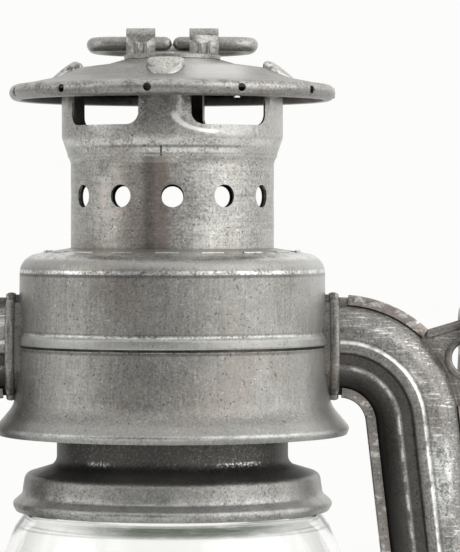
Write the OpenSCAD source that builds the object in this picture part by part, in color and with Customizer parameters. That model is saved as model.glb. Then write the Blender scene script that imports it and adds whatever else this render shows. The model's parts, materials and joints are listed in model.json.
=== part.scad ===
// Hurricane lantern: a tubular cold-blast lantern in pressed sheet metal.
// Millimetres, +Z up, origin at the middle of the base, front towards -Y.

/* [Sheet and wire] */
// Thickness of the pressed sheet
sheet = 0.6; // [0.5:0.05:0.8]
// Diameter of the bail and lift ring wire
wire_d = 3; // [2.6:0.1:3.2]
// Diameter of the guard wire
guard_d = 2.1; // [1.8:0.1:2.4]

/* [Clearances] */
// Gap between sheets that slide on each other
slide_gap = 0.35; // [0.3:0.05:0.5]
// Gap around a pin or a shaft
pin_gap = 0.06; // [0.03:0.01:0.1]
// Gap where a piece is seated and stays
seat_gap = 0.05; // [0.03:0.01:0.1]

/* [Tank] */
// Outer diameter of the tank
tank_d = 126; // [120:1:136]
// Height of the tank's flat crown
tank_h = 45; // [43:0.5:50]
// Radius of the tank's shoulder
tank_shoulder = 12; // [8:0.5:14]
// Outer diameter of the filler neck
neck_d = 19; // [16:0.5:20]
// Height of the filler neck above the tank
neck_h = 10; // [9:0.5:13]

/* [Air tubes] */
// Width of a tube between its flanges
tube_w = 16.4; // [15:0.1:17.5]
// Depth of a tube, front to back
tube_depth = 14; // [12:0.2:15]
// Width of a tube's seam flange
flange_w = 1.95; // [1.7:0.05:2.4]
// Bend radius of a tube's centre line
bend_r = 16.2; // [15:0.1:18]
// Gap between a tube's inner seam and the globe's belly
tube_gap = 3.8; // [3.6:0.1:6]
// Angle by which the tubes spread downwards
splay = 6.5; // [4:0.5:8]
// Diameter of the hole in a bail ear
ear_hole_d = 6.2; // [5.8:0.1:6.6]

/* [Drum] */
// Height of the drum above its lower rim
drum_h = 38; // [36:0.5:42]
// How far the lower rim flares out
flare = 3.9; // [3.4:0.1:5]
// Number of air slots in the drum's top
slot_count = 18; // [12:1:20]

/* [Globe] */
// Diameter of the globe at its belly
globe_d = 87; // [84:0.5:88]
// Diameter of the globe at its mouths
mouth_d = 60; // [58:0.5:63]
// Height of the globe
globe_h = 102.6; // [98:0.2:108]
// Thickness of the glass
glass_t = 1.8; // [1.4:0.1:2.2]

/* [Chimney] */
// Outer diameter of the chimney tube
chimney_d = 42.1; // [40:0.1:43.5]
// Outer diameter of the hood over its bead
hood_d = 67.5; // [64:0.5:72]
// Diameter of the rolled bead
bead_d = 3.3; // [2.8:0.1:3.8]
// Number of holes around the chimney tube
hole_count = 12; // [8:2:14]
// Diameter of those holes
hole_d = 4.6; // [3.5:0.1:5.5]
// Width of a smoke window, in degrees
window_angle = 46; // [38:1:47]
// Turn of the chimney in the drum, in degrees
chimney_turn = -4; // [-30:1:30]

/* [Burner] */
// Width of the wick
wick_w = 13.6; // [11:0.2:15]
// Thickness of the wick
wick_t = 2.6; // [2:0.1:3.2]
// Direction of the wick shaft, in degrees from +X
shaft_turn = -40; // [-50:1:-35]
// Diameter of the wick shaft
shaft_d = 2.4; // [2:0.1:3]
// Diameter of the wick knob
knob_d = 16; // [14:0.5:18]

/* [Handles] */
// Height of the bail's crown above its pivot
bail_h = 109; // [108:0.5:118]
// Gap between the lowered bail and the guard behind the globe
bail_gap = 2; // [2:0.1:8]
// Width of the lift ring between wire centres
ring_w = 32.7; // [30:0.1:34]
// Depth of the lift ring from pivot to crown
ring_depth = 26; // [23:0.5:26]

/* [Hidden] */
$fn = 96;
arc_step = 11;
zinc = [0.60, 0.61, 0.60];
dull_zinc = [0.50, 0.51, 0.51];
bright_wire = [0.66, 0.66, 0.65];
brass = [0.62, 0.52, 0.34];
half_t = sheet / 2;
strip_t = 0.5;

// Levels, each carried by the one below
tank_r = tank_d / 2;
tube_half = tube_w / 2 + flange_w;
low_z = tank_h + tube_half + 1.2;
groove_w = 3;
chamber_r = mouth_d / 2 - groove_w;
chamber_top = tank_h + 2 * tube_half + 4.8;
cover_z = chamber_top - 2.2;
globe_z = chamber_top - 0.5;
globe_top = globe_z + globe_h;
drum_z = globe_top + 9.4;
drum_top = drum_z + drum_h;
bead_z = drum_top + 32.1;
ring_z = bead_z + 10.2;

// Radii, each cleared by the one inside it
chimney_r = chimney_d / 2;
neck_r = chimney_r + 2.95;
mouth_r = mouth_d / 2;
cap_r = mouth_r + 0.6;
lip_r = cap_r + 2.4;
drum_r = cap_r + 0.75;
flare_r = drum_r + 1.2 + flare;
collar_r = chimney_r + 1.85;
hood_r = hood_d / 2;
bead_r = bead_d / 2;

// The tube's run: an upper bend, a straight leg and a lower bend, clear of the drum and the belly
bend_z = drum_z + 7.5 + tube_half - bend_r;
leg_z = bend_z + bend_r * sin(splay);
belly_z = globe_z + globe_h * 0.48;
belly_x = globe_d / 2 + tube_gap + (tube_half + seat_gap + strip_t) / cos(splay);
bend_x = max(drum_r + 3.35, belly_x - bend_r * cos(splay) - (leg_z - belly_z) * tan(splay));
leg_x = bend_x + bend_r * cos(splay);
foot_z = low_z + bend_r * (1 + sin(splay));
leg_len = round((leg_z - foot_z) / cos(splay) * 100) / 100;
foot_x = leg_x + leg_len * sin(splay) - bend_r * cos(splay);
socket_in = 1.3;

// The bail ear: its hole, its plate and the strip that the bail turns on
ear_r = 8;
ear_x = bend_x + 26.4;
ear_z = bend_z + 13.7;
ear = [ear_x, ear_z];
notch = [bend_x, bend_z] + (bend_r + tube_half) * [cos(47), sin(47)];
strip_low = ear_z + ear_hole_d / 2;
pivot_z = (strip_low + ear_z + ear_r) / 2;
eye_r = (ear_z + ear_r - strip_low) / 2 + wire_d / 2 + 0.35;

// The globe's lift: a lever under the globe plate
lift = 6;
lever_arm = 16;
lever_low = -8;
lever_y = 15;
tip_r = 1.2;
tip_x = -sqrt(pow(mouth_r + 0.2, 2) - lever_y * lever_y);
tip_z = globe_z - sheet - tip_r - 0.15;
lever_x = tip_x - lever_arm * cos(lever_low);
lever_z = tip_z - lever_arm * sin(lever_low);
pin_r = 1.5;

// The wick's drive
wheel_r = 5;
shaft_z = tank_h + 12;
shaft_off = wick_t / 2 + wheel_r + 0.1;
shaft_r = shaft_d / 2;
wick_top = cover_z + 14;
wick_low = 14;
knob_out = 50;

// The filler
neck_r_fill = neck_d / 2;
fill_r = 43.5;
fill_turn = 227;
fill_z = crown_z(fill_r) + neck_h;
cap_wall = 2.3;

function crown_z(r) = tank_h - max(0, r - 26) * tan(10);
function unit(v) = v / norm(v);
function spin(v, a) = [v.x * cos(a) - v.y * sin(a), v.x * sin(a) + v.y * cos(a)];
function fine(p) = [for (q = p) [round(q.x * 1000) / 1000, round(q.y * 1000) / 1000]];
function backwards(p) = [for (i = [len(p) - 1:-1:0]) p[i]];
function turn_at(a, b, c) =
  let (u = unit(b - a), w = unit(c - b)) atan2(u.x * w.y - u.y * w.x, u * w);

// A corner of a section, rounded to radius r
function bend(a, b, c, r) =
  let (t = turn_at(a, b, c))
  abs(t) < 0.5 || r == 0 ? [b] :
  let (u = unit(b - a),
       n = t > 0 ? [-u.y, u.x] : [u.y, -u.x],
       s = b - u * r * tan(abs(t) / 2),
       o = s + n * r,
       steps = max(2, ceil(abs(t) / arc_step)))
  [for (i = [0:steps]) o + spin(s - o, t * i / steps)];

// A section's middle line from its corners, each [x, y] or [x, y, radius]
function xy(c) = [c[0], c[1]];
function line(c) = concat([xy(c[0])],
  len(c) < 3 ? [] : [for (i = [1:len(c) - 2])
    each bend(xy(c[i - 1]), xy(c[i]), xy(c[i + 1]), c[i][2] == undef ? 0 : c[i][2])],
  [xy(c[len(c) - 1])]);

// The line moved to its left by d, and a strip of thickness t along it
function side(p, d) = [for (i = [0:len(p) - 1])
  let (a = unit(i > 0 ? p[i] - p[i - 1] : p[1] - p[0]),
       b = unit(i < len(p) - 1 ? p[i + 1] - p[i] : p[i] - p[i - 1]),
       na = [-a.y, a.x],
       m = unit(na + [-b.y, b.x]))
  p[i] + m * d / (m * na)];
function strip(p, t) = concat(side(p, t / 2), backwards(side(p, -t / 2)));

module turned(corners, t = sheet) {
  rotate_extrude() polygon(fine(strip(line(corners), t)));
}

module ring_bar(r, z, w, h) {
  rotate_extrude() translate([r, z]) square([w, h]);
}

// Half of a tube's pressed section: flange, flank, groove, ridge, flank, flange
function half_section() = let (w = tube_w / 2, d = tube_depth / 2 - half_t)
  [[-tube_half, half_t], [-w - 0.1, half_t, 0.5], [-w + 0.9, d * 0.53, 2.6],
   [-4.5, d - 0.75, 0.8], [-3.7, d - 1.15, 0.5], [-1.4, d - 1.1, 0.5],
   [-0.8, d, 0.5], [0.8, d, 0.5], [1.3, d - 0.55, 0.5], [4.6, d - 1.0, 3],
   [w - 0.9, d * 0.53, 2.6], [w + 0.1, half_t, 0.5], [tube_half, half_t]];

// The opening that takes a tube's end, grown outwards by d
function socket_line() = let (w = tube_w / 2, g = 0.12, d = tube_depth / 2 + g)
  line([[-tube_half - g, sheet + g], [-w - 0.7, sheet + g, 1.3], [-w + 0.2, d * 0.6, 2.6],
   [-4.3, d, 3], [4.3, d, 3], [w - 0.2, d * 0.6, 2.6], [w + 0.7, sheet + g, 1.3],
   [tube_half + g, sheet + g]]);
function socket_outline(d) = let (p = side(socket_line(), d), e = tube_half + 0.12 + d / 2,
  half = concat([[-e, p[0].y]], [for (i = [1:len(p) - 2]) p[i]], [[e, p[0].y]]))
  fine(concat(half, [for (q = backwards(half)) [q.x, -q.y]]));

module along_x(x0, x1) {
  translate([x0, 0, 0]) rotate([90, 0, 90]) linear_extrude(x1 - x0) children();
}

module both_sides() {
  children();
  mirror([1, 0, 0]) children();
}

// A section carried along the right tube, past the straight leg by two bends of those angles
module along_tube(p, up, down) {
  bent = [for (q = p) [q.x + bend_r, q.y]];
  translate([leg_x, 0, leg_z]) rotate([0, -splay, 0]) union() {
    translate([0, 0, -leg_len]) linear_extrude(leg_len) polygon([for (q = p) [q.x, -q.y]]);
    translate([-bend_r, 0, 0]) rotate([90, 0, 0]) rotate_extrude(angle = up) polygon(bent);
    translate([-bend_r, 0, -leg_len]) mirror([0, 0, 1]) rotate([90, 0, 0])
      rotate_extrude(angle = down) polygon(bent);
  }
}

// The ear's plate: a disc that runs out on a tangent to the notch in the seam
module ear_plate() {
  d = norm(ear - notch);
  t = notch + spin(unit(ear - notch), asin(ear_r / d)) * sqrt(d * d - ear_r * ear_r);
  difference() {
    union() {
      translate(ear) circle(ear_r);
      polygon(fine([notch, t, ear]));
    }
    translate([bend_x, bend_z]) circle(bend_r + tube_half - flange_w / 2);
  }
}

// One pressed half of the right tube, with its half of the bail ear
module tube_half_shell() {
  difference() {
    union() {
      along_tube(fine(strip(line(half_section()), sheet)), 90 - splay + asin(socket_in / bend_r),
        90 + splay + asin(1 / bend_r));
      rotate([90, 0, 0]) linear_extrude(sheet) ear_plate();
    }
    translate([ear_x, 1, ear_z]) rotate([90, 0, 0]) cylinder(r = ear_hole_d / 2 + 0.45, h = 4);
  }
}

module tube_right_front() {
  color(zinc) tube_half_shell();
}

module tube_right_back() {
  color(zinc) mirror([0, 1, 0]) tube_half_shell();
}

module tube_left_front() {
  color(zinc) mirror([1, 0, 0]) tube_half_shell();
}

module tube_left_back() {
  color(zinc) mirror([1, 0, 0]) mirror([0, 1, 0]) tube_half_shell();
}

// Strips folded over the tubes' seams, open where the bail ears stand
module seam_strips() {
  low = tube_half - flange_w + 0.45;
  inner = sheet + seat_gap;
  outer = inner + strip_t;
  edge = tube_half + seat_gap;
  u = [[low, inner], [edge, inner], [edge, -inner], [low, -inner], [low, -outer],
    [edge + strip_t - 0.2, -outer], [edge + strip_t, -outer + 0.2], [edge + strip_t, outer - 0.2],
    [edge + strip_t - 0.2, outer], [low, outer]];
  color(zinc) both_sides() difference() {
    for (s = [1, -1]) along_tube(fine([for (q = u) [s * q.x, q.y]]), 86 - splay,
      (s > 0 ? 84 : 77) + splay);
    translate([ear_x, 4, ear_z]) rotate([90, 0, 0]) cylinder(r = norm(ear - notch), h = 8);
  }
}

// Collars on the drum that take the tubes' upper ends
module tube_sockets() {
  color(zinc) both_sides() translate([0, 0, bend_z + bend_r]) along_x(drum_r - 0.9, bend_x - 0.3)
    difference() {
      polygon([for (q = socket_outline(0.9)) [q.y, q.x]]);
      polygon([for (q = socket_outline(0)) [q.y, q.x]]);
    }
}

// Eyelets that line the bail holes and clamp the two ear plates
module ear_eyelets() {
  color(dull_zinc) both_sides() translate([ear_x, 0, ear_z]) rotate([90, 0, 0]) rotate_extrude()
    polygon(let (r = ear_hole_d / 2, o = r + 0.45 - seat_gap, f = sheet + seat_gap)
      [[r, -f - 0.3], [r + 0.3, -f - 0.5], [r + 1.2, -f - 0.5], [r + 1.4, -f - 0.3],
       [r + 1.4, -f], [o, -f], [o, f], [r + 1.4, f], [r + 1.4, f + 0.3],
       [r + 1.2, f + 0.5], [r + 0.3, f + 0.5], [r, f + 0.3]]);
}

// Tank floor with the folded rim that the lantern stands on
module tank_floor() {
  color(dull_zinc) rotate_extrude() {
    translate([0, 2.6]) square([tank_r - 2, sheet]);
    translate([tank_r - 3, 0]) square([2.4, 3.2]);
    translate([tank_r - 0.6, 1.6]) circle(1.6);
  }
}

module tank_shell() {
  color(zinc) difference() {
    turned([[tank_r - half_t, 3.2 + seat_gap],
      [tank_r - half_t, crown_z(tank_r) - half_t, tank_shoulder],
      [26, tank_h - half_t, 2], [15.3, tank_h - half_t, 0.8], [15.3, tank_h - 2.6]]);
    fill_place() cylinder(r = neck_r_fill + seat_gap, h = 80);
  }
}

module fill_place() {
  rotate([0, 0, fill_turn]) translate([fill_r, 0, 0]) children();
}

module filler_neck() {
  color(dull_zinc) fill_place() {
    ring_bar(neck_r_fill - 1.2, fill_z - neck_h - 3, 1.2, neck_h + 3);
  }
}

module filler_cap() {
  r = neck_r_fill + slide_gap;
  low = crown_z(fill_r - r - cap_wall) + 0.7;
  top = fill_z + 1.1 + 2 * seat_gap;
  color(brass) fill_place() difference() {
    rotate_extrude() polygon([[0, top], [0, top + 1.2], [r + cap_wall - 1, top + 1.2],
      [r + cap_wall, top + 0.2], [r + cap_wall, low], [r, low], [r, top]]);
    for (i = [0:19]) rotate([0, 0, 18 * i]) translate([r + cap_wall + 0.5, 0, low - 1])
      cylinder(r = 1.1, h = 40, $fn = 24);
  }
}

module cap_seal() {
  color([0.12, 0.12, 0.12]) fill_place() {
    ring_bar(neck_r_fill - 3.2, fill_z + seat_gap, 3.2, 1.1);
  }
}

// Chamber on the tank where the tubes' lower ends meet under the burner
module air_chamber() {
  color(zinc) difference() {
    union() {
      ring_bar(chamber_r - 4, tank_h + seat_gap, 4, sheet);
      ring_bar(chamber_r - sheet, tank_h + seat_gap, sheet, chamber_top - tank_h - seat_gap);
      both_sides() translate([0, 0, low_z]) along_x(chamber_r - 6, foot_x + 0.9)
        polygon([for (q = socket_outline(0.9)) [q.y, -q.x]]);
    }
    both_sides() translate([0, 0, low_z]) along_x(chamber_r - 8, foot_x + 4)
      polygon([for (q = socket_outline(0)) [q.y, -q.x]]);
    translate([0, 0, tank_h + sheet + seat_gap]) cylinder(r = chamber_r - sheet, h = 60);
    shaft_place() translate([0, 0, 10]) cylinder(r = shaft_r + 1.25 + seat_gap, h = 40);
  }
}

module shaft_place() {
  rotate([0, 0, shaft_turn]) translate([0, -shaft_off, shaft_z]) rotate([0, 90, 0]) children();
}

// Perforated cover with the collar that guides the globe plate
module chamber_cover() {
  color(dull_zinc) difference() {
    union() {
      ring_bar(0, cover_z, chamber_r - sheet - seat_gap, sheet);
      ring_bar(chamber_r - 2 * sheet - seat_gap, cover_z - 3, sheet, 3 + sheet);
      ring_bar(guide_r - sheet, cover_z, sheet, 12);
    }
    rotate([0, 0, shaft_turn]) translate([0, 0, cover_z])
      cube([wick_w + 1.6 + 2 * seat_gap, wick_t + 1.6 + 2 * seat_gap, 4], center = true);
    for (i = [0:23]) rotate([0, 0, 15 * i + 7.5]) translate([guide_r - 7.4, 0, cover_z - 1])
      cylinder(r = 0.9, h = 3, $fn = 24);
    for (i = [0:15]) rotate([0, 0, 22.5 * i]) translate([guide_r + 2.8, 0, cover_z - 1])
      cylinder(r = 1.1, h = 3, $fn = 24);
  }
}
guide_r = chamber_r - 7;

// Burner: a base over the tank's mouth, the wick tube and the flame cone
module burner_base() {
  color(brass) difference() {
    union() {
      ring_bar(0, tank_h + seat_gap, chamber_r - 7, 0.8);
      ring_bar(13.9, tank_h - 4, 0.7, 4.2);
    }
    rotate([0, 0, shaft_turn])
      cube([wick_w + 1.6 + 2 * seat_gap, wick_t + 1.6 + 2 * seat_gap, 200], center = true);
  }
}

module wick_tube() {
  color(brass) rotate([0, 0, shaft_turn]) difference() {
    translate([-wick_w / 2 - 0.8, -wick_t / 2 - 0.8, tank_h - 6])
      cube([wick_w + 1.6, wick_t + 1.6, wick_top - 2 - tank_h + 6]);
    translate([-wick_w / 2 - 0.3, -wick_t / 2 - 0.3, tank_h - 7])
      cube([wick_w + 0.6, wick_t + 0.6, 80]);
    translate([-wick_w / 2 + 1.2, -wick_t / 2 - 2, shaft_z - 4.2])
      cube([wick_w - 2.4, 2.2, 8.4]);
  }
}

module wick() {
  color([0.86, 0.83, 0.74]) rotate([0, 0, shaft_turn])
    translate([-wick_w / 2, -wick_t / 2, wick_low]) cube([wick_w, wick_t, wick_top - wick_low]);
}

module burner_cone() {
  z = cover_z + sheet + seat_gap;
  color(brass) difference() {
    turned([[guide_r - sheet - 0.4, z + half_t], [guide_r - 2.4, z + half_t, 0.8],
      [guide_r - 3.4, z + 6, 3], [9, wick_top + 1.6, 3], [3, wick_top + 2.6, 2], [0, wick_top + 2.6]]);
    rotate([0, 0, shaft_turn]) translate([0, 0, wick_top + 2])
      cube([wick_w + 3, wick_t + 3.4, 12], center = true);
  }
}

module shaft_bush() {
  color(brass) shaft_place() difference() {
    union() {
      translate([0, 0, bush_out - 4]) cylinder(r = shaft_r + 1.25, h = 6.5);
      translate([0, 0, bush_out + 0.8]) cylinder(r = shaft_r + 2.4, h = 1.2);
    }
    translate([0, 0, bush_out - 9]) cylinder(r = shaft_r + pin_gap, h = 20);
  }
}
bush_out = sqrt(chamber_r * chamber_r - shaft_off * shaft_off);

// Upright that carries the shaft's inner end beside the wick
module shaft_bracket() {
  color(brass) rotate([0, 0, shaft_turn]) difference() {
    translate([-wick_w / 2 - 3.4, -shaft_off - 3, tank_h + 0.8 + 2 * seat_gap])
      cube([1.2, 6, shaft_z + 3 - tank_h - 0.8]);
    translate([0, -shaft_off, shaft_z]) rotate([0, 90, 0])
      cylinder(r = shaft_r + pin_gap, h = 60, center = true);
  }
}

module wick_shaft() {
  color(dull_zinc) shaft_place() translate([0, 0, -wick_w / 2 - 4.4])
    cylinder(r = shaft_r, h = wick_w / 2 + 4.4 + knob_out);
}

// Two toothed wheels that bite into the wick
module wick_wheels() {
  color(brass) shaft_place() for (s = [-1, 1]) translate([0, 0, s * wick_w / 4 - 0.6])
    difference() {
      cylinder(r = wheel_r, h = 1.2);
      translate([0, 0, -1]) cylinder(r = shaft_r + seat_gap, h = 4);
      for (i = [0:11]) rotate([0, 0, 30 * i]) translate([wheel_r + 0.3, 0, -1])
        cylinder(r = 1, h = 4, $fn = 24);
    }
}

module wick_knob() {
  color(brass) shaft_place() translate([0, 0, knob_out - 3.4]) difference() {
    rotate_extrude() polygon([[0, 0], [3.2, 0], [3.2, 1.2], [knob_d / 2, 1.2],
      [knob_d / 2, 4.2], [knob_d / 2 - 0.6, 4.8], [0, 4.8]]);
    for (i = [0:23]) rotate([0, 0, 15 * i]) translate([knob_d / 2 + 0.35, 0, -1])
      cylinder(r = 0.8, h = 8, $fn = 24);
    translate([0, 0, -1]) cylinder(r = shaft_r + seat_gap, h = 4.4 + seat_gap);
  }
}

// Globe plate: a groove for the glass, a sleeve on the guide collar, a rim for the guard
module globe_plate() {
  r = guide_r + slide_gap + half_t;
  color(zinc) difference() {
    turned([[r, chamber_top + 4.8], [r, chamber_top + 0.1 + half_t, 0.8],
      [chamber_r + 0.65, chamber_top + 0.1 + half_t, 0.5],
      [chamber_r + 0.65, globe_z - seat_gap - half_t, 0.4],
      [mouth_r + 1.6, globe_z - seat_gap - half_t, 0.6],
      [mouth_r + 3.4, rim_z, 0.6], [rim_r + 1.8, rim_z]]);
    leg_places() cylinder(r = guard_d / 2 + seat_gap, h = 6, center = true);
    for (i = [0:11]) rotate([0, 0, 30 * i]) translate([chamber_r - 2.4, 0, chamber_top - 1])
      cylinder(r = 1.2, h = 3, $fn = 24);
  }
}
rim_z = globe_z + 2.7;
rim_r = mouth_r + 6.4;

// Guard: two hoops around the globe, tilted against each other, each on two legs
guard_z = globe_z + 35.4;
guard_tilt = 18;
hoop_r = globe_d / 2 + guard_d / 2 + 2.65;
hoop_long = guard_d + seat_gap;

// Angle of the lowered bail from straight down, behind the outer hoop
bail_rest = round(10 * atan((hoop_r + hoop_long + guard_d / 2 + wire_d / 2 + bail_gap)
  / (pivot_z - guard_z))) / 10;

// Where a hoop stretched by e stands over its leg: distance from the axis, direction, height
function hoop_at(e) = let (x = hoop_r * cos(45) * cos(guard_tilt), y = hoop_r * sin(45) + e)
  [norm([x, y]), atan2(y, x), guard_z - hoop_r * cos(45) * sin(guard_tilt)];
function leg_tilt(e) = atan((hoop_at(e)[0] - rim_r) / (hoop_at(e)[2] - rim_z));

module guard_wire_low_left() {
  color(bright_wire) translate([0, 0, guard_z]) rotate([0, -guard_tilt, 0])
    rotate_extrude() translate([hoop_r, 0]) circle(guard_d / 2, $fn = 32);
}

// The outer hoop is longer, so that it passes outside the inner one
module guard_wire_low_right() {
  color(bright_wire) translate([0, 0, guard_z]) rotate([0, guard_tilt, 0]) union() {
    for (s = [0, 1]) mirror([0, s, 0]) translate([0, hoop_long, 0]) rotate_extrude(angle = 180)
      translate([hoop_r, 0]) circle(guard_d / 2, $fn = 32);
    for (s = [-1, 1]) translate([s * hoop_r, -hoop_long, 0]) rotate([-90, 0, 0])
      cylinder(r = guard_d / 2, h = 2 * hoop_long, $fn = 32);
  }
}

// Four legs from the plate's rim, two under each hoop's low side
module leg_places() {
  for (k = [0, 1]) for (s = [-1, 1]) let (e = k == 0 ? hoop_long : 0)
    rotate([0, 0, 180 * k + s * hoop_at(e)[1]]) translate([rim_r, 0, rim_z]) rotate([0, leg_tilt(e), 0]) {
      $leg = (hoop_at(e)[2] - rim_z) / cos(leg_tilt(e)) - guard_d / 2 - seat_gap - 0.1;
      children();
    }
}

module guard_legs() {
  color(bright_wire) leg_places() translate([0, 0, -1.6]) cylinder(r = guard_d / 2, h = 1.6 + $leg);
}

// Globe: short mouths and a belly of one sweep
module globe() {
  m = mouth_r - glass_t / 2;
  b = globe_d / 2 - glass_t / 2;
  reach = belly_z - globe_z - 11;
  drop = (b - m) * 0.68;
  big = (reach * reach + drop * drop) / (2 * drop);
  sweep = asin(reach / big);
  belly = [for (i = [8:-1:-8]) [b - big + big * cos(sweep * i / 8), belly_z + big * sin(sweep * i / 8)]];
  color([0.75, 0.82, 0.80, 0.4]) turned(concat([[m, globe_top], [m, belly_z + reach + 8, 5]],
    [for (p = belly) [p.x, p.y, 0]], [[m, belly_z - reach - 8, 5], [m, globe_z]]), glass_t);
}

// Globe cap: the neck that slides in the drum, and the plate over the glass
module globe_cap() {
  n = neck_r - half_t;
  color(zinc) turned([[chimney_r + seat_gap, globe_top + 23.8], [n, globe_top + 23.8, 0.8],
    [n, globe_top + 2.55, 2.6], [cap_r - 0.3, globe_top + 0.55, 1.4], [cap_r + 0.3, globe_top - 3.5, 1.6],
    [lip_r, globe_top - 5.3, 0.8], [lip_r - 0.8, globe_top - 6.6]]);
}

module chimney_spring() {
  wire = 0.6;
  turns = 4;
  steps = 20;
  r = chimney_r + 1.75;
  low = globe_top + 23.8 + half_t + wire + seat_gap;
  high = drum_top - 0.4 - sheet - wire - seat_gap;
  echo(least_gap_in_spring = (high - low) / turns - 2 * wire);
  ring = [for (i = [0:turns * steps]) for (k = [0:7])
    let (a = 360 * i / steps, q = r + wire * cos(45 * k))
    [q * cos(a), q * sin(a), low + (high - low) * i / (turns * steps) + wire * sin(45 * k)]];
  n = turns * steps;
  color(dull_zinc) polyhedron(ring, concat(
    [for (i = [0:n - 1]) for (k = [0:7]) [i * 8 + k, i * 8 + (k + 1) % 8, i * 8 + 8 + (k + 1) % 8]],
    [for (i = [0:n - 1]) for (k = [0:7]) [i * 8 + k, i * 8 + 8 + (k + 1) % 8, i * 8 + 8 + k]],
    [[7, 6, 5, 4, 3, 2, 1, 0], [for (k = [0:7]) n * 8 + k]]));
}

// Chimney tube with its ring of holes
module chimney_tube() {
  color(zinc) difference() {
    ring_bar(chimney_r - sheet, globe_top + 5.8, sheet, collar_z + 1.2 - globe_top - 5.8);
    for (i = [0:hole_count - 1]) rotate([0, 0, 360 * i / hole_count - 90])
      translate([chimney_r - 4, 0, drum_top + 10.7]) rotate([0, 90, 0])
      cylinder(r = hole_d / 2, h = 8, $fn = 48);
  }
}
collar_z = drum_top + 18.4;
window_z = drum_top + 25.1;
window_bend = 2.4;
post_half = 13.5;

// Collar with four smoke windows, whose four tabs hold the hood
module chimney_collar() {
  c = collar_r - half_t;
  tab_r = collar_r - 2.4;
  color(zinc) rotate([0, 0, chimney_turn]) {
    difference() {
      turned([[c, hood_under(collar_r) - 0.2], [c, collar_z + 4.4, 2.5],
        [chimney_r + half_t + seat_gap, collar_z + 1, 0.6], [chimney_r + half_t + seat_gap, collar_z]]);
      rotate_extrude() polygon(fine([[chimney_r + 0.2, collar_z - 0.1], [chimney_r + 2, collar_z - 0.1],
        [chimney_r + 2, collar_z + 2.4]]));
      for (s = [-1, 1]) for (h = [-90, 90]) rotate([0, 0, h + s * (post_half + window_angle / 2)])
        window_cut();
    }
    for (a = [0:90:270]) rotate([0, 0, a - 90]) intersection() {
      turned([[c - 0.1, hood_under(collar_r) - 0.6], [tab_r, hood_under(tab_r) - 1.0, 0.7],
        [tab_r, hood_under(tab_r) + 1.9, 0.9], [tab_r + 3.4, hood_at(tab_r + 3.4) + sheet + 0.1]]);
      translate([tab_r - 0.5, 0, bead_z - 20]) cylinder(r = 3.75, h = 60);
    }
  }
}

module window_cut() {
  w = round(200 * collar_r * sin(window_angle / 2)) / 100;
  translate([collar_r - 6, 0, window_z]) rotate([90, 0, 90]) linear_extrude(12) {
    translate([-w / 2, window_bend]) square([w, 30]);
    translate([-w / 2 + window_bend, 0]) square([w - 2 * window_bend, 30]);
    for (s = [-1, 1]) translate([s * (w / 2 - window_bend), window_bend]) rotate(90) circle(window_bend);
  }
}

// Hood: a shallow dome, a shoulder, a brim and a rolled bead
hood_line = [[0, bead_z + 7.25], [5, bead_z + 7.25, 8], [10.4, bead_z + 6.5, 2], [13.4, bead_z + 5.6, 1.5],
  [19.6, bead_z + 4.8, 4], [collar_r + 1.4, bead_z + 2.8, 2]];
function hood_at(r) = r < 19.6 ? bead_z + 5.6 - (r - 13.4) * 0.8 / 6.2 :
  bead_z + 4.8 - (r - 19.6) * 2 / (collar_r - 18.2);
function hood_under(r) = hood_at(r) - half_t;

module hood() {
  b = bead_r - half_t;
  o = [hood_r - bead_r, bead_z];
  curl = [for (a = [100:-18:-190]) o + b * [cos(a), sin(a)]];
  body = line(concat(hood_line, [[curl[0].x - 1.2, curl[0].y + 0.2]]));
  color(zinc) rotate([0, 0, chimney_turn]) difference() {
    rotate_extrude() polygon(fine(strip(concat(body, curl), sheet)));
    for (i = [0:10]) rotate([0, 0, 360 * i / 11 - 94.6]) translate([hood_r - bead_r, 0, bead_z])
      rotate([0, 90, 0]) cylinder(r = 0.85, h = 6, $fn = 24);
    for (a = [0:90:270]) rotate([0, 0, a - 90]) intersection() {
      ring_bar(collar_r - 2.4 - half_t - 0.1, bead_z - 5, sheet + 0.2, 30);
      translate([collar_r - 2.9, 0, bead_z - 20]) cylinder(r = 3.85, h = 60);
    }
  }
}

// Strap on the hood: a domed plate and two clips that hold the ring's wire
module ring_strap() {
  t = 0.8;
  z = bead_z + 7.25 + half_t + seat_gap + t / 2;
  r = wire_d / 2 + 0.3;
  clip_x = ring_w * 0.2;
  foot = z - 0.35;
  top = ring_z + r + t / 2 + 0.6;
  q = r + t / 2;
  color(zinc) {
    rotate_extrude() polygon(fine(strip([[0, z], [5, z], [10, z - 0.65]], t)));
    for (s = [-1, 1]) translate([s * clip_x - 3, 0, 0]) rotate([90, 0, 90]) linear_extrude(6)
      polygon(fine(strip(line([[-q, foot], [-q, top, 1.2], [q, top, 1.2], [q, foot]]), t)));
    for (s = [-1, 1]) for (k = [-1, 1]) translate([s * clip_x + k * 0.9, -r - t, foot])
      cylinder(r = 0.4, h = ring_z - foot, $fn = 24);
  }
}

// Lift ring: straight through the clips, its ends butting there, its loop to the back
module lift_ring() {
  w = ring_w / 2;
  c = 4;
  color(bright_wire) translate([0, 0, ring_z]) {
    for (s = [0, 1]) mirror([s, 0, 0]) {
      translate([0.4, 0, 0]) rotate([0, 90, 0]) cylinder(r = wire_d / 2, h = w - c - 0.4);
      translate([w - c, c, 0]) rotate([0, 0, -90]) rotate_extrude(angle = 90)
        translate([c, 0]) circle(wire_d / 2);
      translate([w, c, 0]) rotate([-90, 0, 0]) cylinder(r = wire_d / 2, h = ring_depth - w - c);
      translate([0, ring_depth - w, 0]) rotate_extrude(angle = 90) translate([w, 0]) circle(wire_d / 2);
    }
  }
}

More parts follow.
